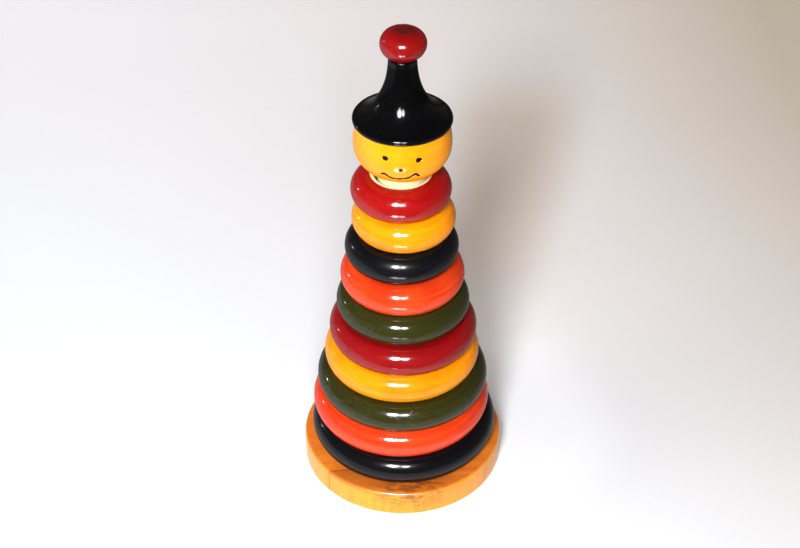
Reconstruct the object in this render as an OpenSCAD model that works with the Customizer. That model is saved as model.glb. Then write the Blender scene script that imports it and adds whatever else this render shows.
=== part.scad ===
// Wooden stacking ring toy: a round base with a fixed post, ten loose lathe-turned
// rings that get smaller towards the top, and a lift-off clown head with a tall hat.
// Millimetres. Origin at the centre of the base's underside, +Z up the post,
// the face looks along -Y.
// In names, _d is a diameter, _r a radius, _h a height and _z a level above the origin.

/* [Base] */
// Diameter of the round base board
base_d = 100; // [96:0.5:110]
// Thickness of the base board
base_h = 13.4; // [11:0.1:18]
// Radius of the rounded top edge of the base
base_edge_r = 1.4; // [0.5:0.1:3]
// Chamfer round the underside of the base
base_foot_chamfer = 0.3; // [0.2:0.1:1.5]
// Depth of the stopped hole that holds the post
base_socket_depth = 9; // [6:0.1:10]

/* [Post] */
// Diameter of the post
post_d = 23.2; // [20:0.1:23.6]
// Chamfer on the top end of the post
post_chamfer = 1.6; // [0.5:0.1:3]
// Length of post that stands inside the head
post_in_head = 14.5; // [10:0.1:15]
// Bare post seen between the top ring and the head
neck_gap = 5; // [1:0.1:6]

/* [Rings] */
// Bore of every ring, a loose fit over the post
ring_bore_d = 24.8; // [24.2:0.1:27]
// Radius of the rounded outer edge of every ring
ring_edge_r = 8.3; // [8.2:0.1:10]
// Chamfer at both mouths of a ring's bore
ring_bore_chamfer = 0.5; // [0.2:0.1:0.8]
// Diameter of ring 1, the lowest
ring_1_d = 92.8; // [88:0.1:95]
// Diameter of ring 2
ring_2_d = 87.9; // [84:0.1:90]
// Diameter of ring 3
ring_3_d = 84.4; // [80:0.1:86]
// Diameter of ring 4
ring_4_d = 75.8; // [72:0.1:79]
// Diameter of ring 5
ring_5_d = 71.8; // [68:0.1:74]
// Diameter of ring 6
ring_6_d = 64.3; // [61:0.1:67]
// Diameter of ring 7
ring_7_d = 59.4; // [56:0.1:61]
// Diameter of ring 8
ring_8_d = 53.9; // [51:0.1:56]
// Diameter of ring 9
ring_9_d = 48.6; // [47:0.1:51]
// Diameter of ring 10, the highest
ring_10_d = 46.7; // [44:0.1:48]
// Thickness of ring 1
ring_1_h = 15.8; // [14:0.1:16.3]
// Thickness of ring 2
ring_2_h = 15.3; // [14:0.1:16.3]
// Thickness of ring 3
ring_3_h = 14.8; // [14:0.1:16.3]
// Thickness of ring 4
ring_4_h = 15; // [14:0.1:16.3]
// Thickness of ring 5
ring_5_h = 15.5; // [14:0.1:16.3]
// Thickness of ring 6
ring_6_h = 15.9; // [14:0.1:16.3]
// Thickness of ring 7
ring_7_h = 16.1; // [14:0.1:16.3]
// Thickness of ring 8
ring_8_h = 16.2; // [14:0.1:16.3]
// Thickness of ring 9
ring_9_h = 16; // [14:0.1:16.3]
// Thickness of ring 10
ring_10_h = 15.6; // [14:0.1:16.3]

/* [Head] */
// Widest diameter of the head
head_d = 44.8; // [43:0.1:47]
// Height of the head from its flat underside to the hat
head_h = 23.1; // [23:0.1:26]
// Height of the widest point above the underside
head_mid_h = 12.3; // [11.5:0.1:12.7]
// Radius of the head's rounded lower half, seen from the side
head_low_r = 13.7; // [13.6:0.1:15]
// Radius of the head's flatter upper half, seen from the side
head_high_r = 40; // [30:1:60]
// Diameter of the socket that drops over the post
head_socket_d = 24.8; // [24.2:0.1:27]

/* [Face] */
// Angle of each eye from the front of the head
eye_az = 20; // [14:0.5:26]
// Height of the eyes above the head's widest point
eye_up = 4.1; // [2:0.1:6]
// Diameter of an eye dimple
eye_d = 2.2; // [1:0.1:3]
// Height of the nose dimple relative to the widest point
nose_up = -1.0; // [-2:0.1:1]
// Diameter of the nose dimple
nose_d = 1.5; // [0.8:0.1:2]
// Half width of the smile
mouth_half_w = 7; // [5:0.1:9]
// Drop of the smile's lowest point below the head's widest point
mouth_drop = 6.8; // [5:0.1:7.5]
// Rise of the smile's ends above its lowest point
mouth_rise = 3.1; // [1:0.1:3.5]
// Width of the engraved line of the smile
mouth_line_w = 0.6; // [0.4:0.1:1]
// Depth of the smile at its lowest point
mark_depth = 0.45; // [0.2:0.05:0.8]

/* [Hat] */
// Diameter of the hat's brim
brim_d = 45.2; // [43:0.1:47]
// Thickness of the brim at its edge
brim_h = 3.3; // [1.8:0.1:3.6]
// Height of the hat above the head
hat_h = 32; // [29:0.1:34]
// Diameter of the top of the hat's cone
hat_top_d = 12.9; // [11:0.1:15]
// Radius of the rounding at the top of the cone
hat_top_round = 0.8; // [0.3:0.1:1.2]
// Diameter of the main flare where it would reach the brim
hat_flare_d = 33.4; // [28:0.1:36]
// How sharply the flare opens towards the brim
hat_flare_power = 2.24; // [1.8:0.05:3]

/* [Knob] */
// Diameter of the knob on top of the hat
knob_d = 20.8; // [18:0.1:23]
// Height of the knob
knob_h = 13.4; // [11:0.1:16]

/* [Dowel] */
// Diameter of the hidden dowel that joins head, hat and knob
dowel_d = 8; // [6:0.1:9]
// Depth of the dowel hole in the head
dowel_in_head = 6.2; // [4:0.1:6.8]
// Depth of the dowel hole in the knob
dowel_in_knob = 8; // [5:0.1:10]

/* [Hidden] */
$fn = 96;
eps = 0.01;    // tiny overlap between touching shapes
overcut = 1;   // how far a hole's cutter runs past the face it opens in

// Rings from the lowest up
ring_ds = [ring_1_d, ring_2_d, ring_3_d, ring_4_d, ring_5_d,
           ring_6_d, ring_7_d, ring_8_d, ring_9_d, ring_10_d];
ring_hs = [ring_1_h, ring_2_h, ring_3_h, ring_4_h, ring_5_h,
           ring_6_h, ring_7_h, ring_8_h, ring_9_h, ring_10_h];

// Height of the underside of ring i, counted from 0; one past the last ring
// gives the top of the stack
function ring_z(i) = i == 0 ? base_h : ring_z(i - 1) + ring_hs[i - 1];

post_foot_z = base_h - base_socket_depth;
head_z   = ring_z(len(ring_hs)) + neck_gap;   // flat underside of the head
head_mid = head_z + head_mid_h;               // widest point of the head
post_z   = head_z + post_in_head;             // top end of the post, where the head rests
hat_z    = head_z + head_h;                   // underside of the brim
brim_z   = hat_z + brim_h;                    // top face of the brim
knob_z   = hat_z + hat_h;                     // flat underside of the knob
dowel_z  = hat_z - dowel_in_head;             // lower end of the dowel

head_steps = 6;         // straight steps in the head's upper side
head_lap_h = 1;         // how far the upper half reaches down into the lower
head_lap_inset = 3;     // and how far in from the widest point it does so
hat_steps = 28;         // straight steps in the hat's side
hat_foot_d = brim_d - 0.6 * brim_h;   // where the cone's side meets the brim
hat_foot_power = 8;     // how late the side runs out onto the brim

// The smile is an arc through the mouth's two corners and its lowest point
smile_r = (pow(mouth_half_w, 2) + pow(mouth_rise, 2)) / (2 * mouth_rise);
smile_half_angle = asin(mouth_half_w / smile_r);
smile_cut_length = 4;   // from the floor of the smile out past the face

// Radius of the head at a height above its widest point
function head_r(up) = let (side_r = up < 0 ? head_low_r : head_high_r)
    head_d / 2 - side_r + sqrt(pow(side_r, 2) - pow(up, 2));

// Radius of the hat at a fraction of the way down from its top to the brim: a
// flare that opens slowly, then runs out flat onto the brim
function hat_r(down) = hat_top_d / 2
    + (hat_flare_d - hat_top_d) / 2 * pow(down, hat_flare_power)
    + (hat_foot_d - hat_flare_d) / 2 * pow(down, hat_foot_power);

// Flat disc section with a rounded rim: a half profile for rotate_extrude.
// bottom and top are its flat faces, mid_z is the height of the rim arc's centre
module rounded_section(rim_r, bottom, top, mid_z, edge_r) {
    intersection() {
        union() {
            translate([rim_r - edge_r, mid_z]) circle(r = edge_r);
            translate([0, mid_z - edge_r]) square([rim_r - edge_r, 2 * edge_r]);
        }
        translate([0, bottom]) square([rim_r, top - bottom]);
    }
}

// Upright cylinder on the axis, standing on the given level
module rod(d, level, length) {
    translate([0, 0, level]) cylinder(d = d, h = length);
}

module base() {
    rim_r = base_d / 2;
    foot_r = rim_r - base_foot_chamfer;
    edge_z = base_h - base_edge_r;
    color("sandybrown")
    difference() {
        rotate_extrude()
            union() {
                translate([0, base_foot_chamfer]) square([rim_r, edge_z - base_foot_chamfer]);
                polygon([[0, 0], [foot_r, 0], [rim_r, base_foot_chamfer], [0, base_foot_chamfer]]);
                translate([0, edge_z - eps]) square([rim_r - base_edge_r, base_edge_r + eps]);
                intersection() {
                    translate([rim_r - base_edge_r, edge_z]) circle(r = base_edge_r);
                    translate([0, edge_z - eps]) square([rim_r, base_edge_r + eps]);
                }
            }
        rod(post_d, post_foot_z, base_socket_depth + overcut);
    }
}

module post() {
    chamfer_z = post_z - post_chamfer;
    color("cornsilk")
    union() {
        rod(post_d, post_foot_z, chamfer_z - post_foot_z);
        translate([0, 0, chamfer_z])
            cylinder(d1 = post_d, d2 = post_d - 2 * post_chamfer, h = post_chamfer);
    }
}

// Ring i, counted from 0: rounded rim, flat faces, chamfered bore
module ring(i) {
    bottom = ring_z(i);
    height = ring_hs[i];
    top = bottom + height;
    bore_r = ring_bore_d / 2;
    mouth_r = bore_r + ring_bore_chamfer + eps;
    mouth_h = ring_bore_chamfer + eps;
    difference() {
        rotate_extrude()
            rounded_section(ring_ds[i] / 2, bottom, top, bottom + height / 2, ring_edge_r);
        rod(ring_bore_d, bottom - overcut, height + 2 * overcut);
        translate([0, 0, bottom - eps]) cylinder(r1 = mouth_r, r2 = bore_r, h = mouth_h);
        translate([0, 0, top - ring_bore_chamfer])
            cylinder(r1 = bore_r, r2 = mouth_r, h = mouth_h);
    }
}

module ring_01() { color("#22232a") ring(0); }
module ring_02() { color("#f0562e") ring(1); }
module ring_03() { color("#45421f") ring(2); }
module ring_04() { color("#fbb818") ring(3); }
module ring_05() { color("#a82426") ring(4); }
module ring_06() { color("#4b4a20") ring(5); }
module ring_07() { color("#f2582a") ring(6); }
module ring_08() { color("#201f25") ring(7); }
module ring_09() { color("#fbb40e") ring(8); }
module ring_10() { color("#c92422") ring(9); }

// The head without its holes and marks
module head_body() {
    upper_h = hat_z - head_mid;
    rotate_extrude()
        union() {
            rounded_section(head_d / 2, head_z, head_mid, head_mid, head_low_r);
            polygon(concat(
                [[0, head_mid - head_lap_h],
                 [head_d / 2 - head_lap_inset, head_mid - head_lap_h]],
                [for (k = [0 : head_steps])
                    let (up = upper_h * k / head_steps) [head_r(up), head_mid + up]],
                [[0, hat_z]]));
        }
}

// Cutter for a round dimple, centred on the head's surface.
// angle is measured from the front, up from the head's widest point
module dimple(angle, up, d) {
    rotate([0, 0, angle])
        translate([0, -head_r(up), head_mid + up])
            sphere(d = d);
}

// Cutter for the smile, straight back from the front of the head
module mouth_cut() {
    floor_r = head_r(-mouth_drop) - mark_depth;
    // The wedge that trims the circle to the smile reaches well past it
    wedge_x = 3 * smile_r * sin(smile_half_angle);
    wedge_y = -3 * smile_r * cos(smile_half_angle);
    translate([0, -floor_r, head_mid - mouth_drop + smile_r])
        rotate([90, 0, 0])
            linear_extrude(height = smile_cut_length)
                intersection() {
                    difference() {
                        circle(r = smile_r + mouth_line_w / 2);
                        circle(r = smile_r - mouth_line_w / 2);
                    }
                    polygon([[0, 0], [-wedge_x, wedge_y], [wedge_x, wedge_y]]);
                }
}

module head() {
    color("gold")
    difference() {
        head_body();
        rod(head_socket_d, head_z - overcut, post_in_head + overcut);
        rod(dowel_d, dowel_z, dowel_in_head + overcut);
        dimple(-eye_az, eye_up, eye_d);
        dimple(eye_az, eye_up, eye_d);
        dimple(0, nose_up, nose_d);
        mouth_cut();
    }
}

module hat() {
    round_z = knob_z - hat_top_round;
    color("#1c1c1e")
    difference() {
        union() {
            // Brim
            rotate_extrude()
                rounded_section(brim_d / 2, hat_z, brim_z, hat_z + brim_h / 2, brim_h / 2);
            // Flared cone with a rounded top edge
            rotate_extrude()
                union() {
                    polygon(concat(
                        [[0, brim_z - eps], [hat_r(1), brim_z - eps]],
                        [for (k = [hat_steps : -1 : 1])
                            [hat_r(k / hat_steps), knob_z - (knob_z - brim_z) * k / hat_steps]],
                        [[hat_top_d / 2, round_z], [0, round_z]]));
                    rounded_section(hat_top_d / 2, round_z - eps, knob_z, round_z,
                                    hat_top_round);
                }
        }
        rod(dowel_d, hat_z - overcut, hat_h + 2 * overcut);
    }
}

module knob() {
    color("#c41f22")
    difference() {
        // The top face is trimmed by eps
        rotate_extrude()
            rounded_section(knob_d / 2, knob_z, knob_z + knob_h - eps,
                            knob_z + knob_h / 2, knob_h / 2);
        rod(dowel_d, knob_z - overcut, dowel_in_knob + overcut);
    }
}

module cap_dowel() {
    color("burlywood")
    rod(dowel_d, dowel_z, dowel_in_head + hat_h + dowel_in_knob);
}

base();
post();
ring_01();
ring_02();
ring_03();
ring_04();
ring_05();
ring_06();
ring_07();
ring_08();
ring_09();
ring_10();
head();
hat();
knob();
cap_dowel();
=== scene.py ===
"""Looks of a turned wooden stacking toy: a round base with a post, ten lacquered rings on the
post, and a cap made of a head with a burnt face, a flared hat and a knob.

The toy stands upright on z = 0, its axis on Z. The face and the camera are on the -Y side, and
+X is to the camera's right. Profiles, offsets and textures are in millimetres.
"""
import math
from types import SimpleNamespace

import bpy
import numpy as np
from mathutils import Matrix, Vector


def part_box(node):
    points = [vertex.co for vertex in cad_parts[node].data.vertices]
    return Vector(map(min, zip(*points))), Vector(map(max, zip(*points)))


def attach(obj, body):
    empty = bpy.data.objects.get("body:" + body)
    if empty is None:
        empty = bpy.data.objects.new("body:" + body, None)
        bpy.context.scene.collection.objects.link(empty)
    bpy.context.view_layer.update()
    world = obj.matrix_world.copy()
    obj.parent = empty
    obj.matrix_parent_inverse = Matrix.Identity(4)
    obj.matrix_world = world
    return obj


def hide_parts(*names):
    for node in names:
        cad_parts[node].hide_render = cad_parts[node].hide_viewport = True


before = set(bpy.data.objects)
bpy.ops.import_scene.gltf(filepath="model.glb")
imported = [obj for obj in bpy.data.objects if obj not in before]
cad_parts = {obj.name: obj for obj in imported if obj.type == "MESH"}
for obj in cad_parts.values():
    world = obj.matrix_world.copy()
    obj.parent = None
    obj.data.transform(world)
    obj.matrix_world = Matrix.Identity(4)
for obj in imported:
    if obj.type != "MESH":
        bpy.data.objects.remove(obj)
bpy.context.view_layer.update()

MM = 0.001
scene = bpy.context.scene


# ---------------------------------------------------------------- profiles: rows of (radius, z)

def size_of(node):
    """Radius, bottom and top of a turned node."""
    lo, hi = ([c / MM for c in corner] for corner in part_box(node))
    return max(hi[0], hi[1], -lo[0], -lo[1]), lo[2], hi[2]


def arc(centre_r, centre_z, radius, start, end, count):
    """Points of an arc between two angles in degrees, 0 pointing away from the axis."""
    angle = np.radians(np.linspace(start, end, count))
    return np.stack([centre_r + radius * np.cos(angle), centre_z + radius * np.sin(angle)], 1)


def resample(points, step, closed):
    """The same outline with evenly spaced points."""
    path = np.vstack([points, points[:1]]) if closed else points
    run = np.r_[0, np.cumsum(np.linalg.norm(np.diff(path, axis=0), axis=1))]
    keep = np.r_[True, np.diff(run) > 1e-9]
    path, run = path[keep], run[keep]
    count = max(8, int(round(run[-1] / step)))
    at = np.linspace(0, run[-1], count + 1)
    even = np.stack([np.interp(at, run, path[:, 0]), np.interp(at, run, path[:, 1])], 1)
    return even[:-1] if closed else even


def soften(points, radius, closed, step=0.08):
    """Rounds every corner of a profile, as sanding does, leaving the flats and curves."""
    even = resample(np.asarray(points, float), step, closed)
    reach = int(round(3 * radius / step))
    offset = np.arange(-reach, reach + 1) * step
    weight = np.exp(-0.5 * (offset / radius) ** 2)
    weight /= weight.sum()
    columns = []
    for v in even.T:
        if closed:
            padded = np.r_[v[-reach:], v, v[:reach]]
        else:  # point reflection about the ends keeps them where they are
            padded = np.r_[2 * v[0] - v[reach:0:-1], v, 2 * v[-1] - v[-2:-reach - 2:-1]]
        columns.append(np.convolve(padded, weight, "valid"))
    return np.stack(columns, 1)


def thin_out(points, closed, turn=3.2, longest=2.2):
    """Keeps a point after every turn (degrees) or longest (mm) of the profile."""
    keep = [0]
    last_angle = None
    turned = run = 0.0
    for i in range(1, len(points)):
        d = points[i] - points[i - 1]
        run += float(np.hypot(*d))
        angle = math.degrees(math.atan2(d[1], d[0]))
        if last_angle is not None:
            turned += abs((angle - last_angle + 180) % 360 - 180)
        last_angle = angle
        if turned >= turn or run >= longest:
            keep.append(i)
            turned = run = 0.0
    if not closed and keep[-1] != len(points) - 1:
        keep.append(len(points) - 1)
    return points[keep]


# ---------------------------------------------------------------- lathe

def lathe(name, profile, closed, seg=224, angles=None, shift=None):
    """A solid of revolution. A point on the axis becomes one vertex. shift(r, theta, z) gives
    new r and z for the small unevenness of hand turning."""
    profile = np.asarray(profile, float)
    if angles is None:
        angles = np.linspace(0, 2 * math.pi, seg, endpoint=False)
    seg = len(angles)
    on_axis = profile[:, 0] < 1e-6
    verts, rows, count = [], [], 0
    for (radius, z), pole in zip(profile, on_axis):
        if pole:
            verts.append(np.array([[0.0, 0.0, z]]))
            rows.append(np.full(seg, count))
            count += 1
            continue
        r, height = np.full(seg, radius), np.full(seg, z)
        if shift is not None:
            r, height = shift(r, angles, height)
        verts.append(np.stack([r * np.cos(angles), r * np.sin(angles), height], 1))
        rows.append(np.arange(count, count + seg))
        count += seg
    v = np.vstack(verts) * MM

    faces, volume = [], 0.0
    for i in range(len(rows) if closed else len(rows) - 1):
        j = (i + 1) % len(rows)
        if on_axis[i] and on_axis[j]:
            continue
        a, b = rows[i], rows[j]
        a_next, b_next = np.roll(a, -1), np.roll(b, -1)
        if on_axis[i]:
            strip = np.stack([a, b_next, b], 1)
        elif on_axis[j]:
            strip = np.stack([a, a_next, b], 1)
        else:
            strip = np.stack([a, a_next, b_next, b], 1)
        for k in range(1, strip.shape[1] - 1):
            cross = np.cross(v[strip[:, k]], v[strip[:, k + 1]])
            volume += float(np.einsum("ij,ij->", v[strip[:, 0]], cross))
        faces.append(strip)
    if volume < 0:  # the faces point inwards
        faces = [strip[:, ::-1] for strip in faces]

    sizes = np.concatenate([np.full(len(strip), strip.shape[1]) for strip in faces])
    loops = np.concatenate([strip.ravel() for strip in faces]).astype(np.int32)
    mesh = bpy.data.meshes.new(name)
    mesh.vertices.add(len(v))
    mesh.vertices.foreach_set("co", v.astype(np.float32).ravel())
    mesh.loops.add(len(loops))
    mesh.loops.foreach_set("vertex_index", loops)
    mesh.polygons.add(len(sizes))
    mesh.polygons.foreach_set("loop_start", (np.cumsum(sizes) - sizes).astype(np.int32))
    mesh.update(calc_edges=True)
    mesh.validate()
    mesh.shade_smooth()
    piece = bpy.data.objects.new(name, mesh)
    scene.collection.objects.link(piece)
    return piece


def uneven(seed, rim, amount=0.07, tilt=0.05):
    """Turned wood dries a little oval and never sits dead flat; both grow from STILL to rim."""
    STILL = 14.0
    oval, three_lobed, tilted = np.random.RandomState(seed).uniform(0, 2 * math.pi, 3)

    def shift(r, t, z):
        w = np.clip((r - STILL) / max(rim - STILL, 1.0), 0, 1)
        lobes = 0.8 * np.cos(2 * (t - oval)) + 0.35 * np.cos(3 * (t - three_lobed))
        return r + amount * w * lobes, z + tilt * w * np.cos(t - tilted)
    return shift


# ---------------------------------------------------------------- shader arithmetic

class Field:
    """A node's output. +, -, * and / on it add the matching math node."""

    def __init__(self, tree, socket):
        self.tree, self.socket = tree, socket

    def apply(self, operation, first, second):
        number = self.socket.type == "VALUE"
        return (self.tree.math if number else self.tree.vmath)(operation, first, second)

    def __add__(self, other):
        return self.apply("ADD", self, other)

    def __radd__(self, other):
        return self.apply("ADD", other, self)

    def __sub__(self, other):
        return self.apply("SUBTRACT", self, other)

    def __rsub__(self, other):
        return self.apply("SUBTRACT", other, self)

    def __mul__(self, other):
        return self.apply("MULTIPLY", self, other)

    def __rmul__(self, other):
        return self.apply("MULTIPLY", other, self)

    def __truediv__(self, other):
        return self.apply("DIVIDE", self, other)

    def __abs__(self):
        return self.tree.math("ABSOLUTE", self)


class Nodes:
    """Short names for building a node tree."""

    def __init__(self, owner):
        owner.use_nodes = True
        self.tree = owner.node_tree
        self.tree.nodes.clear()

    def new(self, kind, **props):
        node = self.tree.nodes.new(kind if kind.startswith("Shader") else "ShaderNode" + kind)
        for key, value in props.items():
            setattr(node, key, value)
        return node

    def put(self, socket, value):
        """Links a field to an input, or sets the input's value."""
        if isinstance(value, Field):
            self.tree.links.new(value.socket, socket)
        elif socket.type == "RGBA" and len(value) == 3:
            socket.default_value = (*value, 1)
        else:
            socket.default_value = value

    def node(self, kind, output, inputs, **props):
        """Adds a node, fills its inputs and gives one output as a field."""
        node = self.new(kind, **props)
        for key, value in inputs.items():
            self.put(node.inputs[key], value)
        return Field(self, node.outputs[output])

    def math(self, operation, a, b=0.0, c=0.0):
        return self.node("Math", 0, {0: a, 1: b, 2: c}, operation=operation)

    def largest(self, a, b):
        return self.math("MAXIMUM", a, b)

    def smallest(self, a, b):
        return self.math("MINIMUM", a, b)

    def vmath(self, operation, a, b=(0, 0, 0)):
        output = "Value" if operation == "LENGTH" else 0
        return self.node("VectorMath", output, {0: a, 1: b}, operation=operation)

    def scale(self, vector, factor):
        return self.node("VectorMath", 0, {0: vector, "Scale": factor}, operation="SCALE")

    def vec(self, x, y, z):
        return self.node("CombineXYZ", 0, {0: x, 1: y, 2: z})

    def length(self, x, y, z=0.0):
        return self.vmath("LENGTH", self.vec(x, y, z))

    def xyz(self, vector):
        node = self.new("SeparateXYZ")
        self.put(node.inputs[0], vector)
        return [Field(self, socket) for socket in node.outputs]

    def noise(self, vector, detail=2.0, rough=0.5, distortion=0.0, w=None, scale=1.0):
        """Soft noise around 0.5, in four dimensions if w is given."""
        inputs = {"Vector": vector, "Scale": scale, "Detail": detail, "Roughness": rough,
                  "Lacunarity": 2.0, "Distortion": distortion}
        if w is not None:
            inputs["W"] = w
        return self.node("TexNoise", "Fac", inputs,
                         noise_dimensions="4D" if w is not None else "3D")

    def ramp(self, fac, *stops):
        """stops: (position, grey or rgb)."""
        node = self.new("ValToRGB")
        elements = node.color_ramp.elements
        while len(elements) < len(stops):
            elements.new(0.5)
        for element, (position, c) in zip(elements, stops):
            element.position = position
            c = (c, c, c) if isinstance(c, (int, float)) else c
            element.color = (*c, 1)
        self.put(node.inputs[0], fac)
        return Field(self, node.outputs[0])

    def band(self, value, lo, hi):
        """0 at lo, 1 at hi and beyond, smooth between; lo may be the larger."""
        return self.node("MapRange", 0, {"Value": value, "From Min": lo, "From Max": hi},
                         interpolation_type="SMOOTHSTEP")

    def fade(self, value, lo, hi):
        """1 at lo, 0 at hi and beyond, smooth between."""
        return 1.0 - self.band(value, lo, hi)

    def span(self, value, lo, hi, a, b):
        """Carries lo..hi over to a..b."""
        return self.node("MapRange", 0, {"Value": value, "From Min": lo, "From Max": hi,
                                         "To Min": a, "To Max": b})

    def mix(self, fac, a, b, blend="MIX"):
        """Colour a where fac is 0, b where it is 1."""
        return self.node("Mix", 2, {0: fac, 6: a, 7: b}, data_type="RGBA", blend_type=blend)

    def tint(self, base, colour, where, amount):
        """Lays colour over base, at most by amount, where the mask is 1."""
        return self.mix(where * amount, base, colour)

    def lerp(self, fac, a, b):
        """Number a where fac is 0, b where it is 1."""
        return self.node("Mix", 0, {0: fac, 2: a, 3: b}, data_type="FLOAT")

    def bump(self, height, distance, strength, normal=None):
        """distance is in metres."""
        inputs = {"Distance": distance, "Strength": strength, "Height": height}
        if normal is not None:
            inputs["Normal"] = normal
        return self.node("Bump", 0, inputs)


class Material(Nodes):
    """A material with one Principled shader."""

    def __init__(self, name):
        self.mat = bpy.data.materials.new(name)
        super().__init__(self.mat)
        output = self.new("OutputMaterial")
        self.bsdf = self.new("BsdfPrincipled")
        self.tree.links.new(self.bsdf.outputs[0], output.inputs[0])

    def set(self, **inputs):
        """Fills the shader's inputs, named with underscores for spaces, and gives the material."""
        for key, value in inputs.items():
            self.put(self.bsdf.inputs[key.replace("_", " ")], value)
        return self.mat

    def ray(self, kind):
        return self.node("LightPath", f"Is {kind} Ray", {})

    def grazing(self, lo=0.3, hi=0.86, floor=0.18):
        """1 seen square on, falling to floor at the outline: waxed lacquer mirrors less there
        than glass does."""
        facing = self.node("LayerWeight", "Facing", {"Blend": 0.5})
        return 1.0 - self.band(facing, lo, hi) * (1.0 - floor)

    def object_mm(self, offset=(0, 0, 0)):
        """Position on the piece, in millimetres, whatever pose it is in."""
        return self.scale(self.node("TexCoord", "Object", {}), 1000.0) + offset

    def turned(self, p):
        """Radius, height, and the cosine and sine of the angle round the axis."""
        x, y, z = self.xyz(p)
        r = self.length(x, y)
        divisor = self.largest(r, 0.001)
        return r, z, x / divisor, y / divisor


def srgb(*rgb):
    """Linear colour from 0-255 values."""
    shares = [c / 255 for c in rgb]
    return tuple(c / 12.92 if c <= 0.04045 else ((c + 0.055) / 1.055) ** 2.4 for c in shares)


# ---------------------------------------------------------------- wood

def wood_grain(m, p, seed):
    """Pale turned hardwood: its colour with soft growth rings, its fibres and its short pores."""
    x, y, z = m.xyz(p)
    # the tree's heart lies off the piece's axis, and the rings hardly change along Z
    from_heart = m.vec(x + (31.0 + seed * 7.3), y + (17.0 + seed * 3.1), z * 0.06)
    warp = m.noise(m.scale(from_heart, 0.05), detail=3, rough=0.55)
    heart_x, heart_y, _ = m.xyz(from_heart)
    rings = m.math("SINE", (m.length(heart_x, heart_y) + warp * 9.0) * 2.3)
    rings = m.span(rings, -1, 1, 0, 1)
    fibre = m.noise(m.vec(x * 3.2, y * 3.2, z * 0.12), detail=4, rough=0.6)
    pores = m.band(m.noise(m.vec(x * 7.0, y * 7.0, z * 0.5)), 0.66, 0.74)
    c = m.mix(rings, srgb(251, 238, 194), srgb(247, 230, 182))
    c = m.tint(c, srgb(236, 212, 160), m.band(fibre, 0.42, 0.8), amount=0.3)
    c = m.tint(c, srgb(204, 166, 110), pores, amount=0.25)
    return c, fibre, pores


def wood_relief(fibre, pores):
    return fibre * 0.6 - pores * 0.8


def plain_wood(name, seed, tint=None, rough=0.5):
    """Unlacquered turned wood. tint: (share, colour) laid over all of it."""
    m = Material(name)
    p = m.object_mm()
    c, fibre, pores = wood_grain(m, p, seed)
    relief = wood_relief(fibre, pores)
    r, z, cosine, sine = m.turned(p)
    # lines left round the piece by the turning tool
    tool = m.noise(m.vec(r * 0.8, z * 1.5, cosine * 0.35), detail=4, rough=0.65, w=sine * 0.35)
    rubbed = m.noise(p * (0.2, 0.2, 0.035), detail=3, rough=0.6)
    c = m.tint(c, srgb(226, 196, 140), m.band(rubbed, 0.5, 0.75), amount=0.22)
    c = m.tint(c, srgb(210, 172, 112), m.band(tool, 0.56, 0.72), amount=0.18)
    if tint:
        c = m.mix(tint[0], c, tint[1])
    return m.set(Base_Color=c, Roughness=m.span(tool, 0.3, 0.7, rough - 0.06, rough + 0.08),
                 IOR=1.5, Normal=m.bump(relief + tool * 0.8, distance=0.00008, strength=0.5))


# ---------------------------------------------------------------- lacquer

def stick_chips(m, seed, z, cosine, sine, dash, chips):
    """Dark pits and short dry dashes left by the stick of lacquer, in a few places round the
    piece and always on its front left."""
    place = m.vec(cosine * 1.5, sine * 1.5, z * 0.05 + seed * 1.9)
    some = m.band(m.noise(place), 0.44, 0.6)
    front_left = m.band(cosine * -1.0, 0.15, 0.55) * m.band(sine * -1.0, 0.0, 0.4)
    where = m.largest(some * 0.6, front_left)
    pit = m.band(dash, 0.63, 0.69) * where * chips
    dry = m.fade(dash, 0.30, 0.36) * where * chips
    return pit, dry


def fine_scuffs(m, p, seed, scuffs):
    """Scratches in the gloss, in patches: thin stretched noise in two directions."""
    thread = dict(detail=1, rough=0.4, distortion=0.6)
    level = m.noise(p * (0.35, 0.9, 9.0), **thread)
    upright = m.noise(p * (7.5, 0.5, 0.8) + (seed * 3.3, 0, 0), **thread)
    scuff = m.largest(m.band(level, 0.70, 0.76), m.band(upright, 0.71, 0.77))
    patch = m.band(m.noise(m.scale(p, 0.09) + (0, seed * 2.2, 0)), 0.48, 0.62)
    return scuff * patch * scuffs


def leave_bare(m, look, p, seed, colour, bare):
    """Plain wood inside the radius bare, with a rubbed line where the colour stops and painted
    shade in the bore's mouth."""
    r, z, cosine, sine = look.turned
    wood, fibre, pores = wood_grain(m, p, seed)
    relief = wood_relief(fibre, pores)
    waver = m.noise(m.vec(cosine * 2.2, sine * 2.2, z), detail=3, rough=0.6)
    edge = (bare - 0.22) + waver * 0.44
    inside = m.fade(r - edge, -0.07, 0.07)
    rubbed = m.mix(0.55, srgb(238, 205, 150), colour)
    wood = m.tint(wood, rubbed, m.band(r - edge, -0.75, -0.02), amount=0.28)
    # painted shade: the wood darkens at the bore's mouth, where the gap round the post lies in
    # shadow
    bore_mouth_shade = m.fade(r + waver * 0.3, 13.05, 13.5)
    wood = m.tint(wood, srgb(140, 96, 52), bore_mouth_shade, amount=0.62)
    look.colour = m.mix(inside, look.colour, wood)
    look.rough = m.lerp(inside, look.rough, 0.52)
    look.coat = (1.0 - inside) * look.coat
    look.normal = m.bump(relief * inside, distance=0.00006, strength=0.4, normal=look.normal)


def shade_knob_crown(m, look, p, seed, top):
    """Paints shade on the crown below the height top, and dulls the gloss there."""
    x, y, _ = m.xyz(p)
    z = look.turned[1]
    crown = m.fade(m.length(x - 1.2, y * 1.25), 3.2, 7.0)
    crown = crown * m.band(z, top - 5.0, top - 2.0)
    crown_patches = m.noise(m.scale(p, 0.32) + (0, 3.0, seed), detail=4, rough=0.65)
    crown = crown * m.span(crown_patches, 0.3, 0.62, 0.35, 1.0)
    # painted shade: the crown is darkened where it faces the dim room overhead
    look.colour = m.tint(look.colour, srgb(54, 6, 8), crown, amount=0.8)
    look.rough = look.rough + crown * 0.15


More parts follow.
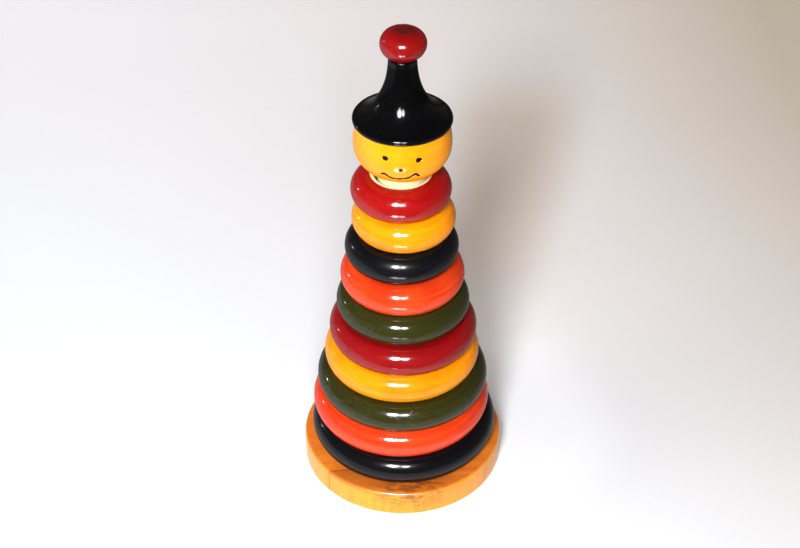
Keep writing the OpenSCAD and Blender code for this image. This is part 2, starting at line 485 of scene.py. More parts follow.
def burn_marks(m, look, speck):
    """The burnt face marks, from the mesh's mark attribute, with a browned ring round each."""
    mark = m.node("Attribute", "Fac", {}, attribute_name="mark")
    burnt = m.band(mark, 0.22, 0.5)
    browned = m.band(mark, 0.03, 0.4)
    c = m.tint(look.colour, srgb(190, 96, 12), browned, amount=0.5)
    char = m.mix(m.band(speck, 0.4, 0.6), srgb(44, 3, 8), srgb(22, 2, 7))
    look.colour = m.mix(burnt, c, char)
    look.rough = m.lerp(burnt, look.rough, 0.5)
    look.coat = (1.0 - burnt * 0.93) * look.coat


def lacquer(name, seed, colour, deep, edge, bare=None, mottle=1.0, rough=0.2, coat_rough=0.055,
            coat=0.95, spec=0.12, scuffs=0.5, chips=0.12, mark=False, shaded_top=None,
            graze=(0.3, 0.86, 0.18), dull=None):
    """Lacquer rubbed on while the piece turns: solid colour, faint rings from the stick, a hard
    gloss over a softer one, fine scuffs and dust.

    deep, edge: the darker tone, and the lighter one of thin lacquer
    bare: radius inside which the wood is left plain
    mottle, scuffs, chips: strength of the colour changes, of the scratches, of the pits
    graze: arguments of grazing; dull: (bottom, top, share) of a less glossy belt
    """
    m = Material(name)
    p = m.object_mm()
    r, z, cosine, sine = m.turned(p)

    def ring_noise(across, around, shift, **kind):
        """Noise drawn out round the axis: its frequency across the profile and round it."""
        place = m.vec(r * across, z * across, cosine * around + shift)
        return m.noise(place, w=sine * around, **kind)

    cloud = m.scale(p, 0.045) + (seed * 1.7, seed * 0.9, 3.1)
    broad = m.noise(cloud, detail=3, rough=0.55)
    streak = ring_noise(0.62, 0.55, seed * 2.3, detail=4, rough=0.62)
    fine = ring_noise(4.5, 1.6, seed * 1.3, detail=3, rough=0.6)
    speck = m.noise(m.scale(p, 1.4) + (seed * 5.1, 0, 0))

    c = m.tint(colour, deep, m.band(broad, 0.38, 0.72), amount=0.42 * mottle)
    c = m.tint(c, deep, m.band(streak, 0.47, 0.68), amount=0.34 * mottle)
    c = m.tint(c, edge, m.band(streak, 0.52, 0.3), amount=0.38 * mottle)
    c = m.tint(c, deep, m.band(speck, 0.66, 0.78), amount=0.16 * mottle)

    dash = ring_noise(1.9, 13.0, seed * 4.1, detail=1)
    pit, dry = stick_chips(m, seed, z, cosine, sine, dash, chips)
    c = m.mix(pit, c, tuple(v * 0.35 for v in deep))
    c = m.tint(c, tuple(0.6 * v + 0.06 for v in colour), dry, amount=0.5)

    scuff = fine_scuffs(m, p, seed, scuffs)
    relief = streak * 1.0 + fine * 0.12
    coat_r = m.span(streak, 0.3, 0.7, coat_rough * 0.75, coat_rough * 1.35) + scuff * 0.22
    normal = m.bump(relief, distance=0.000045, strength=0.55)
    normal = m.bump(scuff * -1.0, distance=0.00001, strength=0.5, normal=normal)
    normal = m.bump(dry - pit, distance=0.00012, strength=0.6, normal=normal)
    look = SimpleNamespace(
        turned=(r, z, cosine, sine), colour=c, coat=coat, normal=normal,
        rough=m.span(fine, 0.35, 0.65, rough * 0.8, rough * 1.2) + scuff * 0.12)

    if bare:
        leave_bare(m, look, p, seed, colour, bare)
    # painted shade on the crown, for the knob
    if shaded_top:
        shade_knob_crown(m, look, p, seed, shaded_top)
    if mark:
        burn_marks(m, look, speck)

    fall = m.grazing(*graze)
    if dull:
        bottom, top, share = dull
        belt = m.band(z, bottom, bottom + 4.5) * m.fade(z, top, top + 1.5)
        fall = fall * (1.0 - belt * share)
    return m.set(Base_Color=look.colour, Roughness=look.rough, IOR=1.5,
                 Specular_IOR_Level=spec * fall, Coat_Weight=look.coat * fall,
                 Coat_Roughness=coat_r, Coat_IOR=1.5, Normal=look.normal,
                 Coat_Normal=look.normal)


def amber_wood(name):
    """Plain board under clear amber lacquer: fibre, growth lines, a darker plank at the front, a
    swirl and smudges."""
    light, mid, dark = srgb(232, 132, 44), srgb(217, 110, 34), srgb(172, 80, 26)
    skew = math.radians(7)  # between the fibres and X

    m = Material(name)
    p = m.object_mm()
    x, y, z = m.xyz(p)
    along = x * math.cos(skew) + y * math.sin(skew)
    across = y * math.cos(skew) - x * math.sin(skew)
    warp = m.noise(m.vec(along * 0.02, across * 0.05, z * 0.05), detail=3)
    from_heart = m.length(across + warp * 16.0, z + 46.0)
    growth = m.noise(m.vec(from_heart * 0.55, along * 0.006, 0.0), detail=4, rough=0.62)
    fibre = m.noise(m.vec(along * 0.10, across * 1.5, z * 1.5), detail=4, rough=0.6)
    pore = m.noise(m.vec(along * 0.45, across * 5.5, z * 5.5))
    blotch = m.noise(m.scale(p, 0.055), detail=3, rough=0.6)
    c = m.mix(m.band(growth, 0.36, 0.66), light, mid)
    c = m.tint(c, dark, m.band(fibre, 0.45, 0.75), amount=0.45)
    c = m.tint(c, srgb(206, 104, 24), m.band(blotch, 0.48, 0.72), amount=0.5)
    c = m.tint(c, srgb(120, 58, 14), m.band(pore, 0.62, 0.72), amount=0.30)

    # painted light: the side is tinted yellower and brighter, for the lamps and the floor it faces
    r, _, cosine, sine = m.turned(p)
    c = m.tint(c, srgb(242, 162, 4), m.band(r, 48.9, 49.8), amount=0.62)

    # the front strip is a second, browner plank, with a fine line at the seam on the left
    seam_y = -34.3 + (x + 35.0) * 0.13 + warp * 1.2
    past_seam = seam_y - y
    plank = m.band(past_seam, 0.0, 0.5) * m.fade(past_seam, 5.0, 24.0)
    top = m.band(z, 11.0, 12.2)
    plank = plank * m.fade(x, 16.0, 34.0)
    c = m.tint(c, srgb(150, 74, 26), plank * top, amount=0.5)
    line = m.fade(abs(past_seam), 0.14, 0.46)
    c = m.tint(c, srgb(126, 50, 18), line * m.fade(x, -22.0, -8.0), amount=0.75)

    # a swirl of disturbed grain on the front of the side
    from_swirl = m.vec((x - 12.0) * 1.0, (y + 48.5) * 0.4, (z - 6.0) * 1.0)
    swirl_distance = m.vmath("LENGTH", from_swirl)
    swirl = m.noise(m.scale(from_swirl, 0.42), distortion=3.2)
    swirl = m.band(swirl, 0.5, 0.62) * m.fade(swirl_distance, 4.0, 9.0)
    c = m.tint(c, srgb(170, 88, 20), swirl, amount=0.7)

    # brown smudges along the front edge, and upright smears below them
    smudge = m.noise(p * (0.16, 0.4, 0.5) + (4.0, 2.0, 1.0), detail=3, rough=0.65)
    near = m.fade(m.length((x - 4.0) * 0.62, y + 47.0, (z - 12.7) * 1.6), 5.0, 17.0)
    c = m.tint(c, srgb(112, 58, 20), m.band(smudge, 0.42, 0.6) * near, amount=0.75)
    smear = m.noise(m.vec(x * 0.55, z * 0.22, 5.0), detail=4, rough=0.7)
    smear = m.band(smear, 0.47, 0.66) * m.fade(abs(x + 1.0), 3.0, 13.0)
    smear = smear * m.fade(y, -47.0, -40.0)
    c = m.tint(c, srgb(172, 98, 26), smear, amount=0.32)

    # upright streaks on the side, pale where the lacquer ran thin
    runs = m.noise(m.vec(cosine * 17.0, sine * 17.0, z * 0.05), detail=3, rough=0.6)
    side = m.band(r, 48.6, 49.6) * (1.0 - top)
    c = m.tint(c, srgb(252, 180, 48), m.band(runs, 0.52, 0.68) * side, amount=0.22)
    c = m.tint(c, srgb(196, 100, 30), m.band(runs, 0.46, 0.3) * side, amount=0.28)

    lathe_rings = m.noise(m.vec(r * 1.3, z * 1.3, cosine * 0.4), detail=3, rough=0.6,
                          w=sine * 0.4)
    relief = lathe_rings * 0.7 + (fibre * 0.5 + m.band(pore, 0.62, 0.72) * -0.35)

    # the underside and the post's hole are sanded but unlacquered
    plain = m.largest(m.fade(z, 0.0, 0.35), m.fade(r, 12.4, 12.9))
    bare, _, _ = wood_grain(m, p, 3)
    c = m.mix(plain, c, m.mix(0.25, bare, mid))
    normal = m.bump(relief, distance=0.00005, strength=0.5)
    rim = m.band(r, 48.1, 48.7) * m.band(z, 11.9, 12.6)
    return m.set(Base_Color=c, IOR=1.5,
                 Roughness=m.lerp(plain, m.span(fibre, 0.35, 0.65, 0.26, 0.38), 0.6),
                 Specular_IOR_Level=m.lerp(rim, 0.2, 1.0),
                 Coat_Weight=(1.0 - plain) * 0.9 * m.grazing(floor=0.2),
                 Coat_Roughness=m.span(lathe_rings, 0.3, 0.7, 0.035, 0.065), Coat_IOR=1.48,
                 Normal=normal, Coat_Normal=normal)


def tones(colour, deep, edge, **gloss):
    return dict(colour=srgb(*colour), deep=srgb(*deep), edge=srgb(*edge), **gloss)


BLACK = tones((10, 10, 13), (6, 6, 8), (16, 16, 20), spec=0.16, coat=0.55)
ORANGE = tones((221, 58, 19), (190, 38, 13), (238, 78, 28))
BRIGHT_ORANGE = {**ORANGE, "colour": srgb(224, 65, 20)}
OLIVE = tones((45, 45, 13), (32, 33, 8), (58, 57, 18), coat=0.75, chips=0.8)
YELLOW = tones((246, 148, 4), (226, 112, 3), (252, 168, 10))
CRIMSON = tones((138, 10, 14), (112, 7, 11), (158, 17, 20))
RED = tones((154, 11, 12), (124, 7, 9), (174, 19, 18))
HEAD_YELLOW = tones((248, 156, 3), (238, 130, 3), (252, 172, 8))
HAT_BLACK = tones((6, 6, 7), (3, 3, 4), (10, 10, 11), spec=0.03, coat=0.68, chips=0.22)
KNOB_RED = tones((134, 9, 10), (104, 6, 8), (150, 14, 14))


# ---------------------------------------------------------------- dimensions

POST_RADIUS, POST_FOOT, POST_TOP = size_of("post")
DOWEL_RADIUS, DOWEL_FOOT, DOWEL_TOP = size_of("cap_dowel")

RING_BORE = 12.4            # radius
RING_BARE = 14.35           # the lacquer starts at this radius
RING_BULGE = 8.3            # radius of the rounded rim
RING_CHAMFER = 0.5
TOP_RING_RISE = 0.7         # the top ring is a little fuller at the shoulder

BASE_EDGE = 1.4             # radius of the top edge
BASE_FOOT_CHAMFER = 0.3
POST_CHAMFER = 1.6

HEAD_WAIST = 12.3           # from the head's foot up to its widest level
HEAD_LOW, HEAD_HIGH = 13.7, 40.0  # radii of the profile below and above that level
SOCKET_RADIUS = 12.4
SOCKET_CHAMFER = 0.4        # at its closed end
SOCKET_LIP = 0.35           # at its mouth

HAT_NECK = 0.5              # the neck reaches this far up into the knob's rounded underside
BRIM_HEIGHT = 3.3
NECK_RADIUS, FLARE_RADIUS = 12.9 / 2, 33.4 / 2
NECK_EDGE = 0.8             # radius of the neck's top edge

KNOB_LIFT = 0.25            # the widest level lies this far above the middle
KNOB_OFF_CENTRE = 0.3       # the knob was turned this far off the dowel's centre, towards +X

# node, slot, tones, what is particular to this ring, (x, y) it happens to lie off the post's axis
RINGS = [
    ("ring_01", "black_lacquer", BLACK,
     dict(rough=0.24, mottle=0.5, coat_rough=0.06, spec=0.1, coat=0.5), (0.62, 0.10)),
    ("ring_02", "orange_red_lacquer", ORANGE,
     dict(rough=0.22, mottle=1.5, chips=0.2), (-0.78, 0.05)),
    ("ring_03", "olive_lacquer", OLIVE, dict(rough=0.22, mottle=0.8), (-0.10, -0.20)),
    ("ring_04", "yellow_lacquer", YELLOW, dict(rough=0.22, mottle=1.4), (-0.34, 0.10)),
    ("ring_05", "crimson_lacquer", CRIMSON, dict(rough=0.2, chips=0.4), (0.28, -0.15)),
    ("ring_06", "olive_lacquer", OLIVE, dict(rough=0.2, mottle=0.8), (0.22, 0.05)),
    ("ring_07", "orange_red_lacquer", BRIGHT_ORANGE,
     dict(rough=0.2, chips=0.25, mottle=1.5), (-0.02, 0.10)),
    ("ring_08", "black_lacquer", BLACK,
     dict(rough=0.3, mottle=0.5, coat_rough=0.08, chips=0.15, coat=0.42), (-0.34, -0.10)),
    ("ring_09", "yellow_lacquer", YELLOW, dict(rough=0.2, mottle=1.4), (0.50, 0.10)),
    ("ring_10", "crimson_lacquer", RED, dict(rough=0.2, chips=0.35), (-0.68, -0.10)),
]


# ---------------------------------------------------------------- rings, base and post

def fit(piece, material, node, rides):
    """Gives a piece its material and puts it in the place of a CAD node."""
    piece.data.materials.append(material)
    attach(piece, rides)
    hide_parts(node)


def ring_profile(node):
    """The profile and its outer radius."""
    radius, z0, z1 = size_of(node)
    if node == "ring_10":
        z1 += TOP_RING_RISE
    half_angle = math.degrees(math.asin((z1 - z0) / 2 / RING_BULGE))
    points = np.vstack([
        [[RING_BORE, z0 + RING_CHAMFER], [RING_BORE, z1 - RING_CHAMFER],
         [RING_BORE + RING_CHAMFER, z1]],
        arc(radius - RING_BULGE, (z0 + z1) / 2, RING_BULGE, half_angle, -half_angle, 90),
        [[RING_BORE + RING_CHAMFER, z0]],
    ])
    return thin_out(soften(points, 0.33, True), True), radius


def build_rings():
    for i, (node, slot, ring_tones, particular, (x, y)) in enumerate(RINGS):
        profile, radius = ring_profile(node)
        ring = lathe(node + "_turned", profile, True, seg=216, shift=uneven(11 + i, radius))
        ring.location = (x * MM, y * MM, 0)
        material = lacquer(node + "_lacquer", seed=1.0 + i * 0.83, bare=RING_BARE,
                           **{**ring_tones, **particular})
        fit(ring, material, node, rides=node)


def build_base():
    """The board, with the stopped hole that holds the post."""
    radius, z0, z1 = size_of("base")
    outside = np.vstack([
        [[0, z0], [radius - BASE_FOOT_CHAMFER, z0], [radius, z0 + BASE_FOOT_CHAMFER]],
        arc(radius - BASE_EDGE, z1 - BASE_EDGE, BASE_EDGE, 0, 90, 24),
    ])
    profile = np.vstack([
        thin_out(soften(outside, 0.16, False), False, longest=3.0),
        [[POST_RADIUS, z1 - 0.001], [POST_RADIUS, POST_FOOT], [0, POST_FOOT]],
    ])
    base = lathe("base_turned", profile, False, seg=288)
    fit(base, amber_wood("base_amber_wood"), "base", rides="stand")


def build_post():
    points = [[0, POST_FOOT], [POST_RADIUS, POST_FOOT], [POST_RADIUS, POST_TOP - POST_CHAMFER],
              [POST_RADIUS - POST_CHAMFER, POST_TOP], [0, POST_TOP]]
    profile = thin_out(soften(points, 0.3, False), False, longest=4.0)
    post = lathe("post_turned", profile, False, seg=144)
    fit(post, plain_wood("post_wood", seed=1), "post", rides="stand")


# ---------------------------------------------------------------- head with its face
# Places on the face are (azimuth, height): degrees from -Y towards +X, and mm above the head's
# widest level.

# place, half width, half height, phase of the uneven edge, lean in radians
EYES = [
    (-20.2, 4.38, 1.34, 1.08, 0.4, -0.12),
    (18.9, 3.60, 1.34, 1.12, 2.1, 0.22),
]
NOSE = (-1.9, -0.95, 0.86, 0.8, 1.2, 0.0)
MOUTH = [(-21.7, -4.0), (-19.2, -4.82), (-15.5, -5.9), (-11.6, -6.55), (-6.2, -6.73),
         (-2.1, -6.58), (1.9, -6.44), (7.2, -5.83), (11.6, -4.63), (15.6, -3.56)]
# short strokes crossing the mouth's two ends
TICKS = [
    [(15.6, -3.56), (17.5, -4.37), (20.0, -5.3)],
    [(-25.0, -4.62), (-23.5, -4.22), (-21.7, -4.0)],
]
MOUTH_HALF_WIDTH, TICK_HALF_WIDTH = 0.52, 0.46
MARK_DEPTH, NOSE_DEPTH = 0.42, 0.36
NOSE_SHADE = 0.86  # the nose is burnt a little less than the rest


def head_radius(up):
    """Radius at a height above the widest level."""
    curve = np.where(up < 0, HEAD_LOW, HEAD_HIGH)
    widest = size_of("head")[0]
    return widest - curve + np.sqrt(np.maximum(curve ** 2 - up ** 2, 0))


def head_profile():
    _, z0, z1 = size_of("head")
    waist = z0 + HEAD_WAIST
    # close together where the face is
    ups = np.r_[np.linspace(-HEAD_WAIST, -9.2, 14), np.arange(-9.1, 6.2, 0.11),
                np.linspace(6.4, z1 - waist, 12)]
    socket = [[0, POST_TOP], [SOCKET_RADIUS - SOCKET_CHAMFER, POST_TOP],
              [SOCKET_RADIUS, POST_TOP - SOCKET_CHAMFER], [SOCKET_RADIUS, z0 + SOCKET_LIP],
              [SOCKET_RADIUS + SOCKET_LIP, z0]]
    side = np.stack([head_radius(ups), waist + ups], 1)
    dowel_hole = [[DOWEL_RADIUS, z1], [DOWEL_RADIUS, DOWEL_FOOT], [0, DOWEL_FOOT]]
    return np.vstack([socket, side, dowel_hole])


def dot(azimuth, up, place, half_width, half_height, phase, lean):
    """1 inside a burnt dot, falling to 0 about its slightly uneven edge."""
    azimuth0, up0 = place
    dx = np.radians(azimuth - azimuth0) * float(head_radius(np.array(up0)))
    # heights are stretched to lengths along the curved underside
    dy = (up - up0) / math.cos(math.asin(min(up0, 0) / HEAD_LOW))
    c, s = math.cos(lean), math.sin(lean)
    ex, ey = (c * dx + s * dy) / half_width, (-s * dx + c * dy) / half_height
    angle = np.arctan2(ey, ex)
    waver = 0.07 * (np.sin(3 * angle + phase) + 0.5 * np.sin(5 * angle + 1.7 * phase))
    distance = np.hypot(ex, ey) - 1 - waver
    return np.clip(0.5 - distance * min(half_width, half_height) / 0.32, 0, 1)


def catmull_rom(points, count):
    """Points of a smooth curve through the given ones."""
    curve = []
    last = len(points) - 1
    for s in np.linspace(0, 1, count):
        k = min(int(s * last), last - 1)
        f = s * last - k
        p0, p1, p2, p3 = points[max(k - 1, 0)], points[k], points[k + 1], points[min(k + 2, last)]
        curve.append(0.5 * ((2 * p1) + (-p0 + p2) * f + (2 * p0 - 5 * p1 + 4 * p2 - p3) * f * f
                            + (-p0 + 3 * p1 - 3 * p2 + p3) * f ** 3))
    return np.array(curve)


def stroke(azimuth, up, places, half_width):
    """1 along a line drawn through the places, falling to 0 at its edge."""
    points = np.array([(math.radians(a) * float(head_radius(np.array(u))), u) for a, u in places])
    curve = catmull_rom(points, 90)
    surface = np.stack([np.radians(azimuth) * head_radius(up), up], 1)
    nearest = np.full(len(surface), 1e9)
    for i, (a, b) in enumerate(zip(curve[:-1], curve[1:])):
        ab = b - a
        k = np.clip(((surface - a) @ ab) / (float(ab @ ab) + 1e-12), 0, 1)
        width = half_width * (1 + 0.16 * math.sin(i * 0.31) + 0.08 * math.sin(i * 0.83 + 1))
        away = np.linalg.norm(surface - (a + k[:, None] * ab), axis=1)
        nearest = np.minimum(nearest, away - width)
    return np.clip(0.5 - nearest / 0.3, 0, 1)


def burn_face(head):
    """Presses the face into the mesh and stores it as the attribute the lacquer reads."""
    co = np.array([v.co[:] for v in head.data.vertices]) / MM
    r = np.hypot(co[:, 0], co[:, 1])
    azimuth = np.degrees(np.arctan2(co[:, 0], -co[:, 1]))
    up = co[:, 2] - (size_of("head")[1] + HEAD_WAIST)
    on_side = np.abs(r - head_radius(up)) < 0.05
    on_face = on_side & (np.abs(azimuth) < 31) & (up > -12) & (up < 8)

    shapes = [dot(azimuth, up, eye[:2], *eye[2:]) for eye in EYES]
    shapes.append(stroke(azimuth, up, MOUTH, MOUTH_HALF_WIDTH))
    shapes += [stroke(azimuth, up, tick, TICK_HALF_WIDTH) for tick in TICKS]
    marks = np.maximum.reduce(shapes)
    nose = dot(azimuth, up, NOSE[:2], *NOSE[2:])
    depth = MARK_DEPTH * np.where(on_face, marks, 0)
    depth = np.maximum(depth, NOSE_DEPTH * nose * on_face)
    marks = np.maximum(marks, NOSE_SHADE * nose) * on_face

    safe_r = np.maximum(r, 1e-6)
    inward = np.stack([-co[:, 0] / safe_r, -co[:, 1] / safe_r, np.zeros(len(co))], 1)
    pressed = (co + inward * depth[:, None]) * MM
    head.data.vertices.foreach_set("co", pressed.astype(np.float32).ravel())
    head.data.update()
    attribute = head.data.attributes.new("mark", "FLOAT", "POINT")
    attribute.data.foreach_set("value", marks.astype(np.float32))


def build_head():
    """One body with the dowel's hole on top and the post's socket below."""
    face = np.radians(np.arange(-122, -58, 0.3))
    rest = np.radians(np.linspace(-58, 238, 120)[1:-1])
    head = lathe("head_turned", head_profile(), False, angles=np.r_[face, rest])
    burn_face(head)
    material = lacquer("head_lacquer_mat", seed=12.4, mark=True, rough=0.22, coat_rough=0.09,
                       mottle=0.8, **HEAD_YELLOW)
    fit(head, material, "head", rides="cap")


# ---------------------------------------------------------------- hat, knob and dowel

def build_hat():
    radius, z0, z1 = size_of("hat")
    z1 += HAT_NECK
    brim_top = z0 + BRIM_HEIGHT
    brim_round = BRIM_HEIGHT / 2
    flare_end = radius - 1.2 * BRIM_HEIGHT / 2
    down = np.linspace(1, 0, 140)  # 0 at the neck, 1 at the brim
    flare_r = (NECK_RADIUS + (FLARE_RADIUS - NECK_RADIUS) * down ** 2.24
               + (flare_end - FLARE_RADIUS) * down ** 8)
    flare = np.stack([flare_r, z1 - (z1 - brim_top) * down], 1)
    points = np.vstack([
        [[DOWEL_RADIUS, z0]],
        arc(radius - brim_round, z0 + brim_round, brim_round, -90, 90, 40),
        flare[flare[:, 1] < z1 - NECK_EDGE],
        arc(NECK_RADIUS - NECK_EDGE, z1 - NECK_EDGE, NECK_EDGE, 0, 90, 12),
        [[DOWEL_RADIUS, z1]],
    ])
    hat = lathe("hat_turned", thin_out(soften(points, 0.22, True), True, turn=2.6), True,
                seg=224, shift=uneven(40, radius, amount=0.05, tilt=0.0))
    # rubbed less on the steep part
    material = lacquer("hat_lacquer", seed=21.0, rough=0.22, coat_rough=0.06, mottle=0.5,
                       scuffs=1.0, graze=(0.28, 0.84, 0.26), dull=(z0 + 9.0, z1 - 3.5, 0.72),
                       **HAT_BLACK)
    fit(hat, material, "hat", rides="cap")


def build_knob():
    radius, z0, z1 = size_of("knob")
    z0 += HAT_NECK
    half = (z1 - z0) / 2
    middle = z0 + half
    points = np.vstack([
        [[DOWEL_RADIUS, z0]],
        arc(radius - half, middle, half, -90, 90, 120),
        [[0, z1]],
    ])
    z = points[:, 1]
    points[:, 1] = np.where(z > middle,
                            middle + KNOB_LIFT + (z - middle) * (half - KNOB_LIFT) / half,
                            z0 + (z - z0) * (half + KNOB_LIFT) / half)
    profile = np.vstack([[[0, DOWEL_TOP], [DOWEL_RADIUS, DOWEL_TOP]],
                         thin_out(soften(points, 0.5, False), False)])

    def shift(r, t, z):
        r, z = uneven(50, radius, amount=0.04, tilt=0.0)(r, t, z)
        return r + KNOB_OFF_CENTRE * np.clip((r - 5.0) / 4.0, 0, 1) * np.cos(t), z

    knob = lathe("knob_turned", profile, False, seg=160, shift=shift)
    # the knob's crown gets painted shade
    material = lacquer("knob_lacquer", seed=31.0, rough=0.24, coat_rough=0.11, mottle=0.9,
                       shaded_top=z1, **KNOB_RED)
    fit(knob, material, "knob", rides="cap")


def build_dowel():
    """The hidden dowel, with its ends eased."""
    ease = 0.5
    points = [[0, DOWEL_FOOT], [DOWEL_RADIUS - ease, DOWEL_FOOT],
              [DOWEL_RADIUS, DOWEL_FOOT + ease], [DOWEL_RADIUS, DOWEL_TOP - ease],
              [DOWEL_RADIUS - ease, DOWEL_TOP], [0, DOWEL_TOP]]
    profile = thin_out(soften(points, 0.15, False), False, longest=4.0)
    dowel = lathe("cap_dowel_turned", profile, False, seg=48)
    material = plain_wood("dowel_birch", seed=6, tint=(0.35, srgb(214, 178, 120)), rough=0.6)
    fit(dowel, material, "cap_dowel", rides="cap")


# ---------------------------------------------------------------- floor

ROOM_PALE = (0.86, 0.84, 0.82)  # the room seen directly


def painted_paper_light(m, x, y):
    """Painted light and shade on the sheet: bluer and paler towards the window on the left,
    warmer and duller towards the back right, where the room's shade falls: a quadratic in the
    place on the sheet."""
    across = m.smallest(m.largest(x / 400.0, -0.72), 0.68)
    back = m.smallest(m.largest(y / 400.0, -0.35), 1.15)
    tone = (1.026, 1.075, 1.122)
    for rgb, term in (
        ((-0.104, -0.213, -0.253), across),
        ((-0.070, -0.185, -0.221), back),
        ((-0.265, -0.277, -0.365), across * across),
        ((-0.201, -0.167, -0.267), across * back),
        ((0.155, 0.196, 0.208), back * back),
    ):
        tone = m.scale(rgb, term) + tone
    return tone


def shade_tone(m, x, y):
    """In the toy's shade, a lane running back from it, the paper takes the room's warm light."""
    outside = 0.926
    from_lane = x - (57.0 + m.largest(y - 200.0, 0.0) * 0.14)
    lane = m.fade(abs(from_lane), 8.0, 62.0)
    warm = m.ramp(y / 500.0, (0.10, outside), (0.16, 1.0), (0.30, (0.907, 0.852, 0.806)),
                  (0.42, (0.870, 0.796, 0.731)), (0.634, (0.778, 0.731, 0.657)),
                  (0.76, (0.861, 0.861, 0.852)), (0.9, outside))
    return m.scale(m.mix(lane, (outside, outside, outside), warm), 1.08)


def floor_paper():
    """A paper sheet that the lacquer mirrors near the toy; in the mirror a dark polished table
    top lies past its front edge."""
    m = Material("floor_paper")
    p = m.object_mm()
    x, y, _ = m.xyz(p)
    soft = m.noise(m.scale(p, 0.004))
    grain = m.noise(m.scale(p, 1.1), detail=3, rough=0.6)
    c = m.mix(soft, (0.80, 0.80, 0.81), (0.83, 0.83, 0.835))
    # painted light and shade across the sheet
    c = c * painted_paper_light(m, x, y)
    c = c * shade_tone(m, x, y)

    # a painted pool of light right of the toy, and less light bounced up from the right
    painted_light_pool = m.fade(m.length(x - 68.0, (y - 18.0) * 0.8), 18.0, 62.0)
    bounce = m.band(x, 0.0, 140.0) * m.ray("Diffuse")
    c = m.scale(c, 1.0 + painted_light_pool * 0.12 - bounce * 0.4)
    weave = m.noise(p * (1.1, 0.22, 1.0)) * m.noise(p * (0.2, 1.0, 1.0))
    cloud = m.noise(m.scale(p, 0.02), detail=3, rough=0.6)
    c = m.scale(c, 0.975 + (weave * 0.06 + cloud * 0.02))

    # mirrored, the sheet dims away from the toy and is bluer on the left
    mirrored = m.ray("Glossy")
    away = m.length(x, y)
    dim = m.ramp(away / 600.0, (0.09, 1.0), (0.16, 0.66), (0.30, 0.46), (0.7, 0.38))
    dim = m.tint(dim, (0.88, 0.94, 1.05), m.band(x * -1.0, 20.0, 160.0), amount=0.35)
    c = m.mix(mirrored, c, m.mix(1.0, c, dim, blend="MULTIPLY"))
    edge_width = 19.0 + m.largest(abs(x) - 45.0, 0.0) * 0.8
    past_edge = (y * -1.0 - 143.0) / edge_width
    table = m.band(past_edge, 0.0, 1.0) * mirrored
    c = m.mix(table, c, srgb(46, 42, 40))

    # well past the sheet, seen directly, the ground fades into the pale room
    far = m.band(away, 640.0, 1900.0) * m.ray("Camera")
    c = m.mix(far, c, (0.0, 0.0, 0.0))
    return m.set(Emission_Color=ROOM_PALE, Emission_Strength=far, Base_Color=c,
                 Roughness=m.lerp(table, 0.75, 0.07), IOR=m.lerp(table, 1.5, 2.2),
                 Specular_IOR_Level=m.lerp(far, m.lerp(table, 0.2, 1.0), 0.0),
                 Normal=m.bump(grain, distance=0.00003, strength=0.1))


def build_floor():
    half, z = 12.0, 0.0
    corners = [(-half, -half, z), (half, -half, z), (half, half, z), (-half, half, z)]
    mesh = bpy.data.meshes.new("floor")
    mesh.from_pydata(corners, [], [(0, 1, 2, 3)])
    floor = bpy.data.objects.new("floor", mesh)
    scene.collection.objects.link(floor)
    mesh.materials.append(floor_paper())


# ---------------------------------------------------------------- light and camera

LAMP_TARGET = (0, 0, 0.12)


def lamp(name, azimuth, elevation, distance, size, watts, colour, tall=1.0, glossy=True):
    """An elliptical area light aimed at the toy. azimuth is in degrees from -Y towards +X, tall
    is its height over its width, glossy whether the lacquer mirrors it."""
    a, e = math.radians(azimuth), math.radians(elevation)
    d = Vector((math.sin(a) * math.cos(e), -math.cos(a) * math.cos(e), math.sin(e)))
    light = bpy.data.lights.new(name, "AREA")
    light.shape = "ELLIPSE"
    light.size = size
    light.size_y = size * tall
    light.energy = watts
    light.color = colour
    ob = bpy.data.objects.new(name, light)
    ob.location = Vector(LAMP_TARGET) + d * distance
    ob.rotation_mode = "QUATERNION"
    ob.rotation_quaternion = (-d).to_track_quat("-Z", "Y")
    ob.visible_glossy = glossy
    scene.collection.objects.link(ob)


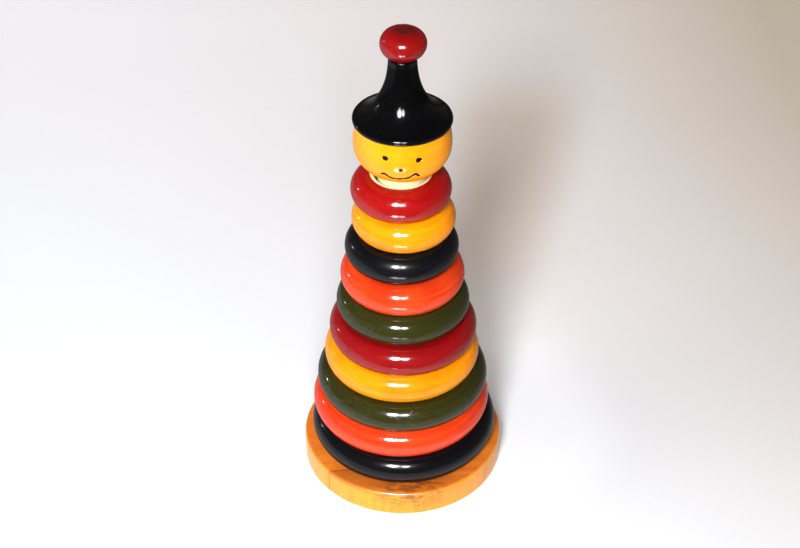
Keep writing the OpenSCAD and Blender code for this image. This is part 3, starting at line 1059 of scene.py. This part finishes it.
def build_lamps():
    lamp("key_left", azimuth=-13.0, elevation=36.0, distance=2.1, size=0.48, watts=51.5,
         colour=(0.99, 0.99, 1.0), tall=1.35)
    lamp("key_right", azimuth=2.6, elevation=35.5, distance=2.1, size=0.36, watts=21.0,
         colour=(0.99, 0.99, 1.0), tall=1.35)
    lamp("side_window", azimuth=-114.5, elevation=11.5, distance=1.6, size=0.07, watts=0.7,
         colour=(0.95, 0.97, 1.0))
    lamp("left_fill", azimuth=-76.0, elevation=34.0, distance=1.8, size=1.3, watts=8.5,
         colour=(1.0, 0.90, 0.78), glossy=False)


def build_room():
    """Seen directly the room is pale, mirrored in the lacquer it is dim, and as fill it is soft
    and warm."""
    world = bpy.data.worlds.new("room")
    scene.world = world
    w = Nodes(world)
    path = w.new("LightPath")
    direction = w.node("TexCoord", "Generated", {})
    x, _, z = w.xyz(direction)
    seen = w.node("Background", 0, {0: ROOM_PALE})
    # more of the fill comes from the window side
    fill_strength = w.math("MULTIPLY_ADD", x, -0.11, 0.15)
    fill = w.node("Background", 0, {0: (1.0, 0.84, 0.68), 1: fill_strength})
    height_tone = w.ramp(z, (0.0, (0.15, 0.14, 0.13)), (0.75, (0.035, 0.035, 0.04)))
    blobs = w.math("MULTIPLY_ADD", w.noise(direction, scale=2.2), 1.2, 0.4)
    gloss = w.node("Background", 0, {0: height_tone, 1: blobs})
    is_glossy = Field(w, path.outputs["Is Glossy Ray"])
    is_camera = Field(w, path.outputs["Is Camera Ray"])
    unseen = w.node("MixShader", 0, {0: is_glossy, 1: fill, 2: gloss})
    light = w.node("MixShader", 0, {0: is_camera, 1: unseen, 2: seen})
    w.put(w.new("OutputWorld").inputs[0], light)


def build_camera():
    data = bpy.data.cameras.new("camera")
    data.sensor_width = 36.0
    data.lens = 72.0
    data.shift_x = -0.00318
    data.shift_y = 0.0021
    data.clip_start = 0.01
    data.clip_end = 100.0
    camera = bpy.data.objects.new("camera", data)
    camera.location = (0.0, -0.606, 0.578)
    camera.rotation_euler = (math.radians(90 - 37.65), 0, 0)  # looking 37.65 degrees down
    scene.collection.objects.link(camera)
    scene.camera = camera


build_rings()
build_base()
build_post()
build_head()
build_hat()
build_knob()
build_dowel()
build_floor()
build_lamps()
build_room()
build_camera()

scene.view_settings.view_transform = "Standard"
scene.view_settings.look = "None"
scene.view_settings.exposure = 0.0
scene.view_settings.gamma = 1.0
